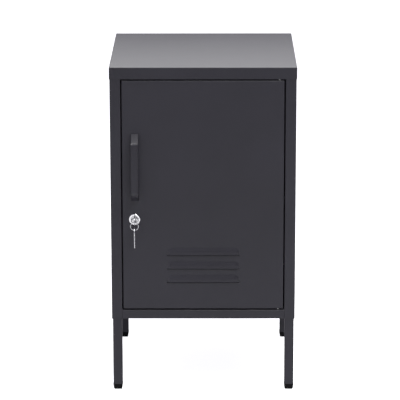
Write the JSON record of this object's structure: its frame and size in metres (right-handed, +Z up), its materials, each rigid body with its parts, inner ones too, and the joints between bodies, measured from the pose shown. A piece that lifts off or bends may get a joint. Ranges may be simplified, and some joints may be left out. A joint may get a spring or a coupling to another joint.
{
  "type": "metal locker",
  "caption": "Small folded-steel locker cabinet on square legs, with a louvred pivot door, arched pull, cam lock with keys on a ring, and a shelf inside.",
  "frame": {"origin": "on the floor, at the centre of the whole object's box: midway across the cabinet, and midway between the cabinet's back and the foremost point of the key that hangs in front of the door", "axes": "+X to the right of someone facing the door, +Y from the door to the back, +Z up"},
  "size_m": [0.4, 0.4308, 0.72],
  "materials": {
    "body_paint": "fine-textured satin charcoal powder coat",
    "door_paint": "fine-textured satin charcoal powder coat",
    "handle_paint": "smooth satin charcoal powder coat",
    "black_plastic": "moulded, matte",
    "black_rubber": "matte",
    "nylon": "black nylon",
    "lock_chrome": "bright chrome plate",
    "key_nickel": "nickel plate, lightly worn",
    "zinc": "zinc plated"
  },
  "bodies": {
    "cabinet": {"side_panel_left": "body_paint", "side_panel_right": "body_paint", "lid": "body_paint", "back_panel": "body_paint", "floor_panel": "body_paint", "header_rail": "body_paint", "shelf": "body_paint", "shelf_clip_front_left": "zinc", "shelf_clip_front_right": "zinc", "shelf_clip_rear_left": "zinc", "shelf_clip_rear_right": "zinc", "leg_front_left": "body_paint", "leg_front_right": "body_paint", "leg_rear_left": "body_paint", "leg_rear_right": "body_paint", "foot_front_left": "black_plastic", "foot_front_right": "black_plastic", "foot_rear_left": "black_plastic", "foot_rear_right": "black_plastic", "leg_bolt_1": "zinc", "leg_bolt_2": "zinc", "leg_bolt_3": "zinc", "leg_bolt_4": "zinc", "leg_bolt_5": "zinc", "leg_bolt_6": "zinc", "leg_bolt_7": "zinc", "leg_bolt_8": "zinc", "pivot_bush_top": "nylon", "pivot_bush_bottom": "nylon", "door_buffer_upper": "black_rubber", "door_buffer_lower": "black_rubber"},
    "door": {"door_panel": "door_paint", "door_stiffener": "door_paint", "pivot_pin_top": "zinc", "pivot_pin_bottom": "zinc", "handle": "handle_paint", "handle_screw_top": "zinc", "handle_screw_bottom": "zinc", "lock_body": "lock_chrome", "lock_nut": "zinc"},
    "lock_core": {"lock_plug": "lock_chrome", "lock_cam": "zinc", "cam_screw": "zinc"},
    "key": {"key_in_lock": "key_nickel"},
    "ring": {"key_ring": "key_nickel"},
    "hanging_key": {"spare_key": "key_nickel"}
  },
  "joints": [
    {"name": "door_hinge", "type": "hinge", "parent": "cabinet", "child": "door", "pos_m": [0.163, -0.17763, 0.4387], "axis": [0, 0, 1], "range_deg": [0, 110]},
    {"name": "lock_turn", "type": "hinge", "parent": "door", "child": "lock_core", "pos_m": [-0.1476, -0.18363, 0.3872], "axis": [0, 1, 0], "range_deg": [0, 90]},
    {"name": "key_slide", "type": "slide", "parent": "lock_core", "child": "key", "axis": [0, -1, 0], "range_m": [0, 0.022]},
    {"name": "key_ring_swing", "type": "hinge", "parent": "key", "child": "ring", "pos_m": [-0.1476, -0.20563, 0.3854], "axis": [-1, 0, 0], "range_deg": [-12, 75]},
    {"name": "spare_key_swing", "type": "hinge", "parent": "ring", "child": "hanging_key", "pos_m": [-0.1476, -0.20563, 0.3686], "axis": [-1, 0, 0], "range_deg": [-8, 60]}
  ]
}
